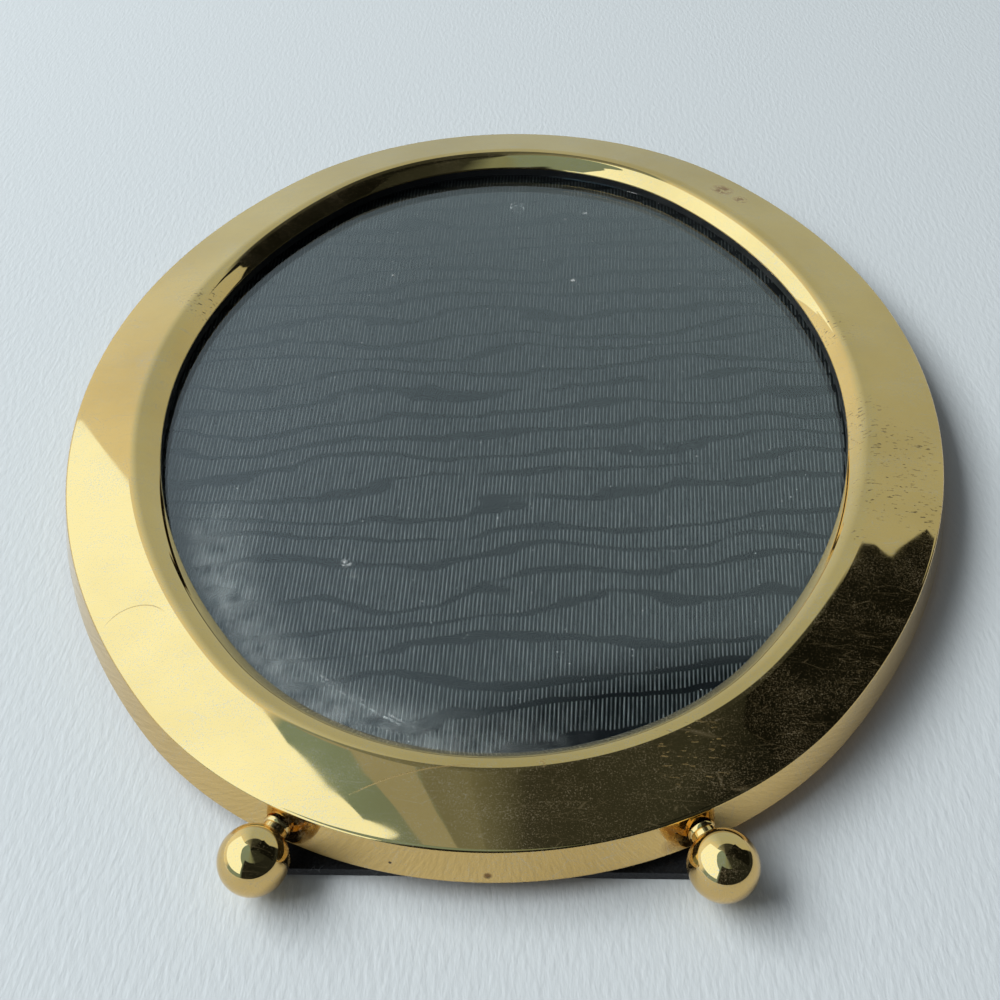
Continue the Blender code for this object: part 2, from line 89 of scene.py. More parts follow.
def setShader(shader, **values):
    # The shader's inputs by their names, with underscores for the spaces
    for name, value in values.items():
        feed(shader.inputs[name.replace("_", " ")], value)


def setSurface(made, surface):
    # What a material shows, in place of its Principled shader alone
    feed(made.node_tree.nodes["Material Output"].inputs["Surface"], surface)


def addObject(name, data):
    made = bpy.data.objects.new(name, data)
    bpy.context.scene.collection.objects.link(made)
    return made


# Camera, where the photograph was taken from

cameraView = {
    "place": (6.268, -179.298, 144.264),
    "ahead": (-0.03088366, 0.73196606, -0.68064079),
    "up": (-0.00261924, 0.68090402, 0.73236798),
    "lens": 43.2, "sensor": 36, "near": 0.01,
}

camera = addObject("camera", bpy.data.cameras.new("camera"))
camera.data.lens = cameraView["lens"]
camera.data.sensor_width = cameraView["sensor"]
camera.data.sensor_fit = "HORIZONTAL"
camera.data.clip_start = cameraView["near"]
ahead = Vector(cameraView["ahead"]).normalized()
upward = Vector(cameraView["up"])
rightward = ahead.cross(upward).normalized()
upward = rightward.cross(ahead)
camera.matrix_world = (Matrix.Translation(Vector(cameraView["place"]) * mm)
                       @ Matrix((rightward, upward, -ahead)).transposed().to_4x4())
bpy.context.scene.camera = camera
bpy.context.scene.view_settings.view_transform = "Standard"
print("camera placed")


# The oval and the rim's section

rim = {
    "halfWidth": 77.7, "halfLength": 98.9, "endRadius": 65.2,
    "wallHeight": 5.45, "wallFlare": 1.4, "faceWidth": 12.9, "crestRise": 1.83,
    "slopeWidth": 2.8, "slopeDrop": 2.85, "lip": 1.83, "lipOverlap": 1.5, "clearance": 0.3,
    "metal": 1.4, "rib": 1.6, "lipTop": 7.93, "back": 2.2,
    "footRound": 0.3, "edgeRound": 0.5, "shoulderRound": 4.2, "lipRound": 0.4, "lipFootRound": 0.12,
    "rebateRound": 0.1, "castRound": 0.35, "hemRound": 0.2,
    "stepLength": 1, "faceRows": 5, "rowStretch": 1.2, "guard": 0.08, "slopeBow": 0.03, "sharpAngle": 40,
    "bossRadius": 3.2, "bossInset": 6.7, "bossAngle": 52, "bossFoot": 1.7, "bossRound": 0.3, "bossSink": 0.5,
    # How far the middle of the boss's round lies inside its corner, as a part of the round
    "bossBow": 0.3,
    # How deep below the polished skin the hollow back begins, at the wall and the face, and how far below the
    # lip's top the painted shade of the sight edge begins
    "wallSkin": 0.4, "faceSkin": 0.6, "sightSkin": 0.3,
}
endCentre = rim["halfLength"] - rim["endRadius"]
spread = rim["halfWidth"] - rim["endRadius"]
sideCentre = (endCentre ** 2 - spread ** 2) / (2 * spread)
sideRadius = rim["halfWidth"] + sideCentre
joinAngle = atan2(endCentre, sideCentre)
sightInset = rim["faceWidth"] + rim["slopeWidth"]
rebateInset = sightInset - rim["lipOverlap"] - rim["clearance"]
crestHeight = rim["lipTop"] + rim["slopeDrop"]
edgeHeight = crestHeight - rim["crestRise"]
wallFoot = edgeHeight - rim["wallHeight"]
lipFoot = rim["lipTop"] - rim["lip"]


def makeMesh(name, vertices, faces):
    mesh = bpy.data.meshes.new(name)
    mesh.from_pydata([Vector(v) * mm for v in vertices], [], faces)
    mesh.validate()
    return mesh


def evaluatedMesh(piece):
    graph = bpy.context.evaluated_depsgraph_get()
    return bpy.data.meshes.new_from_object(piece.evaluated_get(graph))


def dress(piece, materials, sharpAngle):
    # Gives a piece its materials, and makes it smooth but for its real edges
    piece.data.materials.clear()
    for finish in materials:
        piece.data.materials.append(finish)
    piece.data.shade_smooth()
    piece.data.set_sharp_from_angle(angle=radians(sharpAngle))


def addPiece(name, mesh, materials, sharpAngle=35):
    # A piece of the object, facing outwards
    bm = bmesh.new()
    bm.from_mesh(mesh)
    bmesh.ops.recalc_face_normals(bm, faces=bm.faces)
    bm.to_mesh(mesh)
    bm.free()
    piece = addObject(name, mesh)
    dress(piece, materials, sharpAngle)
    return piece


def roundCorners(corners):
    # Points along a closed outline whose corners are (x, y, radius, steps)
    points = []
    for i, (x, y, radius, steps) in enumerate(corners):
        here = Vector((x, y))
        back = (Vector(corners[i - 1][:2]) - here).normalized()
        onward = (Vector(corners[(i + 1) % len(corners)][:2]) - here).normalized()
        if radius == 0:
            points.append((x, y))
            continue
        half = back.angle(onward) / 2
        centre = here + (back + onward).normalized() * radius / sin(half)
        start = here + back * radius / tan(half) - centre
        turn = start.angle_signed(here + onward * radius / tan(half) - centre)
        for step in range(steps + 1):
            point = centre + Matrix.Rotation(-turn * step / steps, 2) @ start
            points.append((point.x, point.y))
    return points


def rimSection():
    # The closed section as (inset, height): outer wall, face, inner slope, lip, rebate, hollow back
    slope = rim["crestRise"] / rim["faceWidth"]
    lean = rim["wallFlare"] / rim["wallHeight"]
    under = rim["metal"] * hypot(1, slope)
    inside = rim["metal"] * hypot(1, lean)
    ribInset = rebateInset - rim["rib"]
    corner = (rim["wallHeight"] - under + slope * (inside - rim["wallFlare"])) / (1 - slope * lean)
    cast = rim["castRound"]
    return roundCorners((
        (-rim["wallFlare"], wallFoot, rim["footRound"], 6),
        (0, edgeHeight, rim["edgeRound"], 10),
        (rim["faceWidth"], crestHeight, rim["shoulderRound"], 20),
        (sightInset, rim["lipTop"], rim["lipRound"], 6),
        (sightInset, lipFoot, rim["lipFootRound"], 3),
        (rebateInset, lipFoot, rim["rebateRound"], 2),
        (rebateInset, rim["back"], cast, 4),
        (ribInset, rim["back"], cast, 4),
        (ribInset, edgeHeight + slope * ribInset - under, cast, 4),
        (inside - rim["wallFlare"] + lean * corner, wallFoot + corner, cast, 4),
        (inside - rim["wallFlare"], wallFoot, rim["hemRound"], 3),
    ))


def withRows(section):
    # The section with each long stretch cut into equal rows, between two guard rows close to its ends which
    # keep the shading of the flats true
    rows, guard = rim["faceRows"], rim["guard"]
    points = []
    for i, start in enumerate(section):
        end = section[(i + 1) % len(section)]
        length = hypot(end[0] - start[0], end[1] - start[1])
        shares = [0]
        if length > rim["rowStretch"]:
            shares += [guard / length + (1 - 2 * guard / length) * row / rows for row in range(rows + 1)]
        # The inner slope is very slightly bowed
        onSlope = start[0] > rim["faceWidth"] and rim["lipTop"] - rim["lipRound"] < end[1] < start[1]
        bow = rim["slopeBow"] if onSlope else 0
        for share in shares:
            out = 4 * bow * share * (1 - share) / length
            points.append((start[0] + (end[0] - start[0]) * share + (start[1] - end[1]) * out,
                           start[1] + (end[1] - start[1]) * share + (end[0] - start[0]) * out))
    return points


def ovalStations():
    # Centre, radius and direction of each station round the four arcs
    endSweep = pi - 2 * joinAngle
    arcs = (
        ((-sideCentre, 0), sideRadius, -joinAngle, 2 * joinAngle),
        ((0, endCentre), rim["endRadius"], joinAngle, endSweep),
        ((sideCentre, 0), sideRadius, pi - joinAngle, 2 * joinAngle),
        ((0, -endCentre), rim["endRadius"], pi + joinAngle, endSweep),
    )
    for centre, radius, first, sweep in arcs:
        steps = int(round(radius * sweep / rim["stepLength"] / 2)) * 2
        for step in range(steps):
            angle = first + sweep * step / steps
            yield centre, radius, cos(angle), sin(angle)


def sweepOval(section):
    # Vertices and faces of a section carried round the oval
    vertices, faces = [], []
    stations = list(ovalStations())
    size = len(section)
    for centre, radius, across, along in stations:
        for inset, height in section:
            reach = radius - inset
            vertices.append((centre[0] + reach * across, centre[1] + reach * along, height))
    for ring in range(len(stations)):
        after = (ring + 1) % len(stations)
        for i in range(size):
            j = (i + 1) % size
            faces.append((ring * size + i, after * size + i, after * size + j, ring * size + j))
    return vertices, faces


def turnedMesh(name, profile, place, segments):
    # A turned solid: the profile is (radius, height) from one end on the axis to the other
    vertices, faces, rings = [], [], []
    for radius, height in profile:
        if radius == 0:
            rings.append([len(vertices)])
            vertices.append((0, 0, height))
            continue
        rings.append(list(range(len(vertices), len(vertices) + segments)))
        for step in range(segments):
            angle = 2 * pi * step / segments
            vertices.append((radius * cos(angle), radius * sin(angle), height))
    for lower, upper in zip(rings, rings[1:]):
        for step in range(segments):
            after = (step + 1) % segments
            loop = [lower[step % len(lower)], lower[after % len(lower)],
                    upper[after % len(upper)], upper[step % len(upper)]]
            faces.append(list(dict.fromkeys(loop)))
    return makeMesh(name, [place @ Vector(v) for v in vertices], faces)


# Finishes. A Mix node's inputs are 0 the share and 6 and 7 its colours. Those of MapRange are a value and its
# span: the low and high that are read, then what they become, or else 0 and 1. Patches, smudges and the like
# are size, detail and roughness of a noise, then its span.

# The part of a patch, and of an arc's reach, that is at full strength
patchCore = 0.45
arcCore = 0.6

brass = {
    # Clean and tarnished
    "colours": ("#DFBB78", "#C8A564"), "patches": (26, 5, 0.5, 0.42, 0.72, 0, 0.6),
    "smudges": (9, 6, 0.6, 0.35, 0.7, 0.012, 0.045), "dust": "#B4B2A4", "pit": "#30260F", "stain": "#7D5A2A",
    "dustSize": 0.22, "dustPatch": 9, "patchWeight": 0.3, "heap": (0.7, 0.95, 0, 0.3), "dustCover": 3,
    "hairTurns": (15, 74, 128), "hairSpacing": 1.3, "hairStretch": 0.16, "hairDepth": 0.1, "hairScatter": 0.9,
    "hairLine": (0, 0.02, 1, 0), "hairs": (0.52, 0.68, 0, 0.32), "hairVeil": 0.3,
    "fleckTurn": 35, "fleckScale": (0.8, 2.6, 1.2), "flecks": (0.635, 0.675, 0, 0.85),
    "bloom": (1.4, 5, 0.7, 0.44, 0.52, 0, 0.9), "arcWidth": 0.09, "arcStain": 0.35,
    "dullLoss": 0.7, "dullRoughness": 0.35, "dullDepth": 0.5, "waveSize": 38, "waveHeight": 0.02,
    # Places with marks of wear: x, y, z, radius of the patch
    "nicks": ((0.1, -100.1, 5, 0.62), (-12.5, -98.6, 5.6, 0.3), (21, -97.6, 5.2, 0.25)),
    "pits": ((68, -22, 9.4, 9), (64, -33, 9.6, 8), (61, -14, 10.4, 9), (62, 14, 10.4, 6), (-60, 24, 10.3, 6),
             (-33, 62, 10.2, 5), (27, -84, 10.2, 6), (61.4, -27.9, 10.8, 2.4), (59.2, -35.2, 10.7, 2.6),
             (56, -43.2, 10.6, 2.4), (69, -37, 9.4, 6)),
    "stains": ((48, 68.6, 10.2, 3), (51.6, 64.2, 10.3, 2), (24.5, -97.2, 5.6, 2.6),
               (-24.5, -97.2, 5.8, 2.4), (33, -94, 5.2, 2.2), (0.1, -100.1, 5, 0.7), (7, -86.5, 10.4, 0.8)),
    # Fine arcs left by handling: centre x, y, radius, then the middle of the seen stretch and its reach
    "arcs": ((-53.4, -63.9, 5.4, -54.6, -58.6, 5.5), (-2, -120, 33, -10, -88, 9),
             (20, -60, 34, 37, -89.5, 6)),
}


def strongest(add, layers):
    # The greatest of some layers at each point
    share = layers[0]
    for layer in layers[1:]:
        share = add("Math", (share, layer), "MAXIMUM")
    return share


def clouds(add, place, size, detail, roughness, *levels):
    # A noise of that size, and the same with its span
    noise = add("TexNoise", {"Vector": place, "Scale": 1 / size, "Detail": detail, "Roughness": roughness})
    return noise, add("MapRange", (noise, *levels))


def mottle(add, place, finish):
    # The noise and share of a finish's patches, and its first colour with its second in them
    noise, share = clouds(add, place, *finish["patches"])
    first, second = finish["colours"]
    return noise, share, add("Mix", {0: share, 6: first, 7: second})


def streaks(add, place, turn, scale, detail, roughness=0.5):
    # A noise that is turned about Z, in degrees, and stretched
    turned = add("Mapping", {"Vector": place, "Rotation": (0, 0, radians(turn)), "Scale": scale})
    return add("TexNoise", {"Vector": turned, "Scale": 1, "Detail": detail, "Roughness": roughness})


def nearPlaces(add, place, places):
    # One inside any of some round patches, fading to nothing at their edges
    layers = []
    for x, y, z, radius in places:
        away = add("VectorMath", (place, (x, y, z)), "DISTANCE")
        layers.append(add("MapRange", (away, radius * patchCore, radius, 1, 0)))
    return strongest(add, layers)


def arcLines(add, place, arcs, width):
    # One along thin arcs seen from above, each only near its own middle
    flat = add("VectorMath", (place, (1, 1, 0)), "MULTIPLY")
    layers = []
    for x, y, radius, midX, midY, reach in arcs:
        away = add("VectorMath", (flat, (x, y, 0)), "DISTANCE")
        line = add("Math", (away, radius, width), "COMPARE")
        nearby = add("VectorMath", (flat, (midX, midY, 0)), "DISTANCE")
        kept = add("MapRange", (nearby, reach * arcCore, reach, 1, 0))
        layers.append(add("Math", (line, kept), "MULTIPLY"))
    return strongest(add, layers)


def makeBrass():
    # Cast brass, machined and mirror polished: sharp reflections, veiled by dust, hairlines and a few stains
    made, add, shader, place = startMaterial("polished_brass")
    _, _, colour = mottle(add, place, brass)
    _, rough = clouds(add, place, *brass["smudges"])
    # Dust lies in fine grains, thicker in patches
    grains = add("TexNoise", {"Vector": place, "Scale": 1 / brass["dustSize"], "Detail": 3, "Roughness": 0.7})
    patches = add("TexNoise", {"Vector": place, "Scale": 1 / brass["dustPatch"], "Detail": 4})
    heap = add("Math", (patches, brass["patchWeight"], grains), "MULTIPLY_ADD")
    dust = add("MapRange", (heap, *brass["heap"]))
    # Hairlines and lint in all directions: the edges of stretched cells, seen only where a noise lets them
    hairs = []
    scale = (brass["hairStretch"] / brass["hairSpacing"], 1 / brass["hairSpacing"], brass["hairDepth"])
    for turn in brass["hairTurns"]:
        turned = add("Mapping", {"Vector": place, "Rotation": (0, 0, radians(turn)), "Scale": scale})
        cells = add("TexVoronoi", {"Vector": turned, "Scale": 1}, feature="DISTANCE_TO_EDGE")
        line = add("MapRange", (cells, *brass["hairLine"]))
        some = add("TexNoise", {"Vector": turned, "Scale": brass["hairScatter"], "Detail": 1})
        few = add("MapRange", (some, *brass["hairs"]))
        hairs.append(add("Math", (line, few), "MULTIPLY"))
    veil = add("Math", (strongest(add, hairs), brass["hairVeil"], dust), "MULTIPLY_ADD")
    covered = add("Math", (veil, brass["dustCover"]), "MULTIPLY", use_clamp=True)
    veiled = add("Mix", {0: covered, 6: colour, 7: brass["dust"]})
    # Pits are short dark flecks near the listed places, stains a brown bloom with a broken edge
    flecks = streaks(add, place, brass["fleckTurn"], brass["fleckScale"], 2)
    dark = add("MapRange", (flecks, *brass["flecks"]))
    flecked = add("Math", (dark, nearPlaces(add, place, brass["pits"])), "MULTIPLY")
    pit = strongest(add, (flecked, nearPlaces(add, place, brass["nicks"])))
    _, broken = clouds(add, place, *brass["bloom"])
    bloomed = add("Math", (broken, nearPlaces(add, place, brass["stains"])), "MULTIPLY")
    arcs = arcLines(add, place, brass["arcs"], brass["arcWidth"])
    stain = add("Math", (arcs, brass["arcStain"], bloomed), "MULTIPLY_ADD", use_clamp=True)
    pitted = add("Mix", {0: pit, 6: veiled, 7: brass["pit"]})
    stained = add("Mix", {0: stain, 6: pitted, 7: brass["stain"]})
    dull = strongest(add, (pit, stain))
    loss = add("Math", (dull, brass["dullLoss"], veil), "MULTIPLY_ADD")
    metal = add("Math", (1, loss), "SUBTRACT", use_clamp=True)
    rougher = add("Math", (dull, brass["dullRoughness"], rough), "MULTIPLY_ADD")
    wave = add("TexNoise", {"Vector": place, "Scale": 1 / brass["waveSize"], "Detail": 1})
    hollow = add("Math", (dull, -brass["dullDepth"], wave), "MULTIPLY_ADD")
    bump = add("Bump", {"Strength": 1, "Distance": brass["waveHeight"] * mm, "Height": hollow})
    setShader(shader, Base_Color=stained, Metallic=metal, Roughness=rougher, Normal=bump)
    return made


glass = {
    "tint": "#F2F7F5", "film": "#D8DEDF", "ior": 1.52,
    "speckSpacing": 1.9, "speckRadius": (0.2, 1, 0.02, 0.07), "speckShare": 0.5,
    "crumbs": (0.7, 4, 0.7, 0.46, 0.62, 0, 0.5), "arcWidth": 0.16, "arcShare": 0.55,
    "blotches": (3.2, 6, 0.72, 0.38, 0.68, 0, 0.16),
    # Specks and lint on top of the pane: x, y, z, radius
    "specks": ((-24.3, 39.3, 5.95, 0.9), (17, 65.4, 5.95, 0.7), (13.7, 37.5, 5.95, 0.8),
               (-0.2, -35, 5.95, 0.5), (3.3, 73.5, 5.95, 0.6), (-24.5, -45.6, 5.95, 1.2),
               (-23, -48.2, 5.95, 0.9), (12.6, 62.6, 5.95, 0.5), (-4, 57, 5.95, 0.5)),
    # A dried ring of liquid, and one long scratch: as the arcs of the brass
    "arcs": ((1.5, 68.7, 1.5, 1.5, 68.7, 9), (72.7, 70.5, 170.15, -19.6, -72.3, 12)),
    # The dusty film along the lower left edge: centre y and radius of the oval's near arc, width, reach
    "filmCentreY": -33.7, "filmRadius": 49.5, "filmWidth": 10, "filmMiddle": (-27, -66, 5.95, 44),
}


def makeGlass():
    # Float glass, cut and washed: sharp reflections, dust specks, a dried film along its lower left edge
    made, add, shader, place = startMaterial("float_glass")
    cells = add("TexVoronoi", {"Vector": place, "Scale": 1 / glass["speckSpacing"]})
    size = add("SeparateColor", (cells.outputs["Color"],))
    radius = add("MapRange", (size.outputs[0], *glass["speckRadius"]))
    dot = add("Math", (radius, cells), "GREATER_THAN")
    faint = add("Math", (dot, size.outputs[1]), "MULTIPLY")
    speck = add("Math", (faint, glass["speckShare"]), "MULTIPLY")
    _, ragged = clouds(add, place, *glass["crumbs"])
    lint = add("Math", (nearPlaces(add, place, glass["specks"]), ragged), "MULTIPLY")
    rings = arcLines(add, place, glass["arcs"], glass["arcWidth"])
    marks = add("Math", (rings, glass["arcShare"]), "MULTIPLY")
    dried = add("Math", (marks, ragged), "MULTIPLY")
    # Film: grows towards the sight edge, in blotches
    flat = add("VectorMath", (place, (1, 1, 0)), "MULTIPLY")
    away = add("VectorMath", (flat, (0, glass["filmCentreY"], 0)), "DISTANCE")
    edge = add("MapRange", (away, glass["filmRadius"] - glass["filmWidth"], glass["filmRadius"]))
    _, thick = clouds(add, place, *glass["blotches"])
    band = add("Math", (edge, thick), "MULTIPLY")
    film = add("Math", (band, nearPlaces(add, place, (glass["filmMiddle"],))), "MULTIPLY")
    share = strongest(add, (speck, lint, dried, film))
    clear = add("Math", (1, share), "SUBTRACT")
    colour = add("Mix", {0: share, 6: glass["tint"], 7: glass["film"]})
    setShader(shader, Base_Color=colour, Roughness=0, IOR=glass["ior"], Transmission_Weight=clear)
    # Rays from the lamps pass the pane, so that the lining behind it is lit
    through = add("BsdfTransparent", {"Color": glass["tint"]})
    shadow = add("LightPath").outputs["Is Shadow Ray"]
    setSurface(made, add("MixShader", (shadow, shader, through)))
    return made


moire = {
    # The crest colour is a painted highlight: the lit sheen of the glossy ribs put into their colour, fading
    # along Y over the span given last
    "gap": "#010202", "crest": "#626566", "pressed": "#050607",
    "ribPitch": 0.695, "fanPoint": (-23.8, -716), "crestPower": 3, "ribHeight": 0.12,
    "driftSize": (30, 13), "drift": 9, "rippleSize": 4.5, "ripple": 1.5, "tilt": -0.09,
    "bandSpacing": 6.2, "bandLevel": -0.7, "bandEdge": 0.08, "unevenScale": 2.3, "unevenBands": 1.5,
    "swaySize": 16, "sway": 0.2, "stretch": (1 / 0.6, 1 / 4, 1), "lively": (0.35, 0.62, 0.35, 1),
    "threadSize": 0.3, "thread": 0.1, "painted_highlight_fade": (-35, 60, 1, 0.32),
}


def makeMoire():
    # Black watered faille on card: round ribs woven along Y, pressed flat along wavy bands. The rib crests
    # carry a painted highlight, which the flat bands lack, so these show darker
    made, add, shader, place = startMaterial("black_moire")
    axes = add("SeparateXYZ", (place,))
    wide, tall = moire["driftSize"]
    squashed = add("Mapping", {"Vector": place, "Scale": (1 / wide, 1 / tall, 1)})
    drift = add("TexNoise", {"Vector": squashed, "Scale": 1, "Detail": 2, "Roughness": 0.45})
    ripple = add("TexNoise", {"Vector": place, "Scale": 1 / moire["rippleSize"], "Detail": 3})
    wander = add("Math", (drift, 2 * moire["drift"], axes.outputs[1]), "MULTIPLY_ADD")
    shaken = add("Math", (ripple, moire["ripple"], wander), "MULTIPLY_ADD")
    tilted = add("Math", (axes.outputs[0], moire["tilt"], shaken), "MULTIPLY_ADD")
    phase = add("Math", (tilted, 2 * pi / moire["bandSpacing"]), "MULTIPLY")
    wave = add("Math", (phase,), "SINE")
    patch = add("TexNoise", {"Vector": squashed, "Scale": moire["unevenScale"], "Detail": 3})
    biased = add("Math", (patch, moire["unevenBands"], wave), "MULTIPLY_ADD")
    level = moire["unevenBands"] / 2 + moire["bandLevel"]
    standing = add("MapRange", (biased, level - moire["bandEdge"], level + moire["bandEdge"]))
    # The ribs fan out a little towards the upper end, from a point far below the frame
    fanX, fanY = moire["fanPoint"]
    reach = add("Math", (axes.outputs[1], fanY), "SUBTRACT")
    narrowing = add("Math", (-fanY, reach), "DIVIDE")
    aside = add("Math", (axes.outputs[0], fanX), "SUBTRACT")
    straight = add("Math", (aside, narrowing, fanX), "MULTIPLY_ADD")
    # They are a little unsteady across, their threads uneven along
    sway = add("TexNoise", {"Vector": place, "Scale": 1 / moire["swaySize"], "Detail": 1})
    across = add("Math", (sway, moire["sway"], straight), "MULTIPLY_ADD")
    turns = add("Math", (across, 2 * pi / moire["ribPitch"]), "MULTIPLY")
    rib = add("Math", (turns,), "SINE")
    half = add("Math", (rib, 0.5, 0.5), "MULTIPLY_ADD")
    up = add("Math", (half, moire["crestPower"]), "POWER")
    uneven = streaks(add, place, 0, moire["stretch"], 3, 0.6)
    lively = add("MapRange", (uneven, *moire["lively"]))
    lifted = add("Math", (up, lively), "MULTIPLY")
    relief = add("Math", (lifted, standing), "MULTIPLY")
    thread = add("TexNoise", {"Vector": place, "Scale": 1 / moire["threadSize"], "Detail": 2})
    fine = add("Math", (thread, moire["thread"], relief), "MULTIPLY_ADD")
    bump = add("Bump", {"Strength": 1, "Distance": moire["ribHeight"] * mm, "Height": fine})
    base = add("Mix", {0: standing, 6: moire["pressed"], 7: moire["gap"]})
    # The painted highlight on the crests fades towards the upper end; the ribs' relief stays the same there
    painted_highlight_fade = add("MapRange", (axes.outputs[1], *moire["painted_highlight_fade"]))
    shine = add("Math", (relief, painted_highlight_fade), "MULTIPLY")
    colour = add("Mix", {0: shine, 6: base, 7: moire["crest"]})
    setShader(shader, Base_Color=colour, Roughness=0.5, Specular_IOR_Level=0.05, Normal=bump)
    return made


velvet = {
    "deep": "#0C0D0D", "nap": "#2A2B2C", "lint": "#55585A", "sheen": "#8E9196",
    "napSize": 0.35, "napHeight": 0.1, "brushSize": 9, "brushWeight": 0.35, "tone": (0.5, 0.9),
    "bendSize": 1.1, "lintSpacing": 1.6, "lintLine": (0, 0.05, 0.7, 0),
    "lintPatches": (2.2, 2, 0.5, 0.6, 0.7),
}


def makeVelvet():
    # Black flocked velvet glued over card: a short brushed nap that lightens at a slant, with lint in it
    made, add, shader, place = startMaterial("black_velvet")
    nap = add("TexNoise", {"Vector": place, "Scale": 1 / velvet["napSize"], "Detail": 4, "Roughness": 0.7})
    brushed = add("TexNoise", {"Vector": place, "Scale": 1 / velvet["brushSize"], "Detail": 3})
    tone = add("Math", (brushed, velvet["brushWeight"], nap), "MULTIPLY_ADD")
    share = add("MapRange", (tone, *velvet["tone"]))
    colour = add("Mix", {0: share, 6: velvet["deep"], 7: velvet["nap"]})
    bent = add("TexNoise", {"Vector": place, "Scale": 1 / velvet["bendSize"], "Detail": 2})
    moved = add("VectorMath", (bent.outputs["Color"], place), "ADD")
    cells = add("TexVoronoi", {"Vector": moved, "Scale": 1 / velvet["lintSpacing"]},
                feature="DISTANCE_TO_EDGE")
    thin = add("MapRange", (cells, *velvet["lintLine"]))
    _, few = clouds(add, place, *velvet["lintPatches"])
    lint = add("Math", (thin, few), "MULTIPLY")
    dusty = add("Mix", {0: lint, 6: colour, 7: velvet["lint"]})
    bump = add("Bump", {"Strength": 0.9, "Distance": velvet["napHeight"] * mm, "Height": nap})
    setShader(shader, Base_Color=dusty, Roughness=0.95, Specular_IOR_Level=0.15, Sheen_Weight=0.3,
              Sheen_Roughness=0.35, Sheen_Tint=velvet["sheen"], Normal=bump)
    return made


# Finishes made alike. Relief is a streaked noise's turn, scale and detail, bump its strength and height, and
# brushed the span of it that gives the roughness. Roughness and bare are spans of the patches.
plain = {
    # The same brass as it was cast, in the hollow of the back: dull and sandy, bare where its brown skin of
    # oxide is thin
    "cast_brass": {
        "colours": ("#A8854A", "#6E5228"), "patches": (7, 6, 0.65, 0.35, 0.7),
        "bare": (0, 1, 0.8, 0.35), "relief": (0, (1 / 0.45, 1 / 0.45, 1 / 0.45), 3), "bump": (0.6, 0.05),
        "look": {"Roughness": 0.42},
    },
    # Grey pulp board: matt, with pale and dark fibres
    "grey_board": {
        "colours": ("#8B857A", "#A59E92"), "patches": (0.6, 5, 0.7, 0.35, 0.65),
        "look": {"Roughness": 0.92},
    },
    # Nickel plated pressed steel: greyish, softly brushed, with a few dull spots
    "plated_steel": {
        "colours": ("#B3AFA6", "#857F73"),
        "patches": (3, 5, 0.5, 0.45, 0.75, 0, 0.7), "look": {"Metallic": 1},
        "relief": (0, (1 / 0.12, 1 / 6, 1 / 6), 3), "bump": (0.3, 0.02), "brushed": (0.3, 0.7, 0.22, 0.42),
    },
    # Painted shade: matt black on the sight edge's inner face and underside, standing in for the shade under
    # the lip, so that edge and its image in the glass show black
    "painted_shade_black": {
        "colours": ("#050505", "#0B0B0A"), "patches": (1.5, 4, 0.5, 0.35, 0.7),
        "roughness": (0.3, 0.7, 0.55, 0.75), "look": {"Specular_IOR_Level": 0.2},
    },
    # Stamped yellow brass, tumbled and lacquered: softer and greyer than the polished rim, with rubbed marks
    "stamped_brass": {
        "colours": ("#D4B06C", "#A8843F"), "patches": (2.5, 5, 0.6, 0.35, 0.7),
        "relief": (40, (0.4, 7, 1), 2), "bump": (0.4, 0.02), "roughness": (0.3, 0.7, 0.16, 0.36),
        "look": {"Metallic": 1},
    },
}


def makePlain(name, finish):
    made, add, shader, place = startMaterial(name)
    noise, share, colour = mottle(add, place, finish)
    setShader(shader, Base_Color=colour, **finish["look"])
    if "relief" in finish:
        lines = streaks(add, place, *finish["relief"])
        strength, height = finish["bump"]
        bump = add("Bump", {"Strength": strength, "Distance": height * mm, "Height": lines})
        setShader(shader, Normal=bump)
    if "brushed" in finish:
        setShader(shader, Roughness=add("MapRange", (lines, *finish["brushed"])))
    if "roughness" in finish:
        setShader(shader, Roughness=add("MapRange", (noise, *finish["roughness"])))
    if "bare" in finish:
        setShader(shader, Metallic=add("MapRange", (share, *finish["bare"])))
    return made


finishes = {name: makePlain(name, finish) for name, finish in plain.items()}
finishes.update(brass=makeBrass(), glass=makeGlass(), moire=makeMoire(), velvet=makeVelvet())
print("finishes made:", len(finishes))


# Rim

# Steps round a small turned piece
roundSteps = 48
sides = ((-1, "left"), (1, "right"))


def combine(piece, solids, operation):
    # Unites a piece with other solids or cuts them out of it, and removes them
    step = piece.modifiers.new("combine", "BOOLEAN")
    step.operation = operation
    step.solver = "EXACT"
    step.object = solids
    done = evaluatedMesh(piece)
    piece.modifiers.clear()
    old = piece.data
    piece.data = done
    bpy.data.meshes.remove(old)
    done.name = piece.name
    bpy.data.objects.remove(solids)


ball = {
    "radius": 4.67, "reach": 6.3, "angle": 24.9, "height": 2.3, "neckRadius": 1.75, "ringRadius": 1.95,
    "ringWidth": 0.35, "ringChamfer": 0.08, "gap": 0.1, "tuck": 0.25, "rounds": 30, "steps": 72,
    "padRadius": 2.1, "padInset": 3.2, "padChamfer": 0.2, "sharpAngle": 50,
}


def footMatrix(side):
    # Local Z points out of the rim's wall through the ball's centre
    angle = side * radians(ball["angle"])
    reach = rim["endRadius"] + ball["reach"]
    centre = Vector((reach * sin(angle), -endCentre - reach * cos(angle), wallFoot + ball["height"]))
    out = Vector((sin(angle), -cos(angle), 0))
    level = Vector((0, 0, 1))
    turn = Matrix((out.cross(level), -level, out)).transposed() @ Matrix.Rotation(pi, 3, "Z")
    return Matrix.Translation(centre) @ turn.to_4x4()


def bossPlaces():
    # Names, places and inward directions of the four turn button bosses
    angle = radians(rim["bossAngle"])
    reach = rim["endRadius"] - rim["bossInset"]
    for end, upDown in (("upper", 1), ("lower", -1)):
        for leftRight, side in sides:
            place = (leftRight * reach * sin(angle), upDown * (endCentre + reach * cos(angle)))
            yield end + "_" + side, place, atan2(-upDown * cos(angle), -leftRight * sin(angle))


